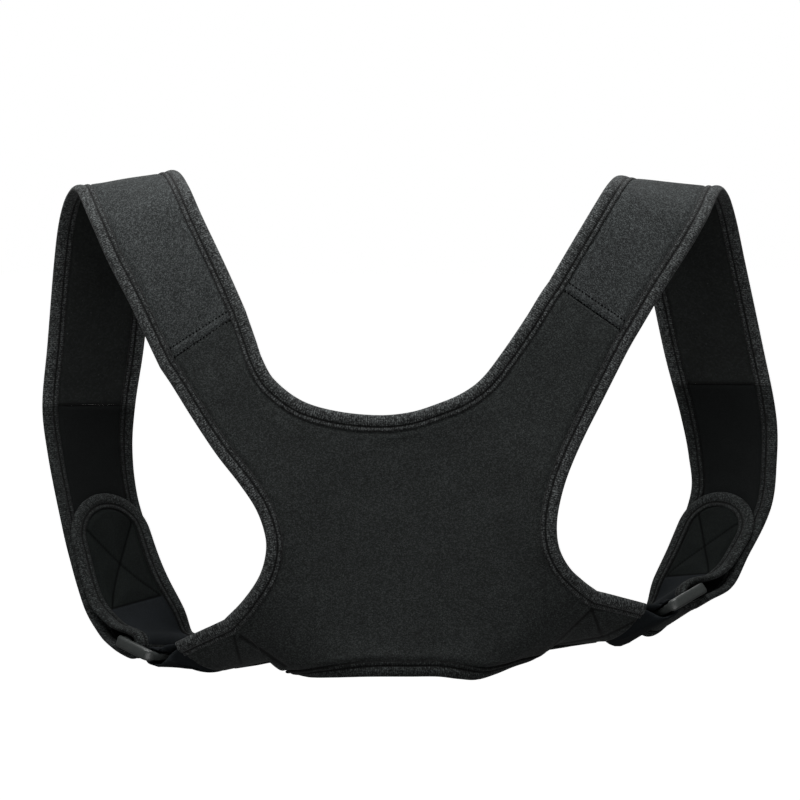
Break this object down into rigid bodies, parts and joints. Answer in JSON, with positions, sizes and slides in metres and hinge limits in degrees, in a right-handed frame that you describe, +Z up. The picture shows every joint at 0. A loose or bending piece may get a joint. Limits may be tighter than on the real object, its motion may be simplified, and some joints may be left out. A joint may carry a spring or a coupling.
{
  "type": "posture corrector",
  "caption": "Soft back brace with an X-shaped padded back panel, two padded shoulder straps and underarm rings through which the strap ends fold back.",
  "frame": {"origin": "midway between the undersides of the two shoulder straps at their highest points, where the part rests on the shoulders", "axes": "+Z up, +Y from the back panel towards the wearer's front, +X to the right when the back panel is seen from behind"},
  "size_m": [0.4561, 0.1484, 0.3057],
  "materials": {
    "padding_cloth": "fine matte black knit over thin foam",
    "edge_tape": "coarse ribbed black knit tape",
    "ring_plastic": "satin moulded dark grey plastic",
    "loop_band": "smooth black band",
    "hook_pad": "dense black hook pile"
  },
  "bodies": {
    "root": {"back_panel": "padding_cloth", "neck_binding": "edge_tape", "hem_binding": "edge_tape", "armhole_binding_left": "edge_tape", "shoulder_strap_left": "padding_cloth", "underarm_strap_left": "padding_cloth", "underarm_binding_left": "edge_tape", "hook_patch_left": "hook_pad", "ring_left": "ring_plastic", "ring_loop_left": "loop_band", "armhole_binding_right": "edge_tape", "shoulder_strap_right": "padding_cloth", "underarm_strap_right": "padding_cloth", "underarm_binding_right": "edge_tape", "hook_patch_right": "hook_pad", "ring_right": "ring_plastic", "ring_loop_right": "loop_band"}
  },
  "joints": []
}
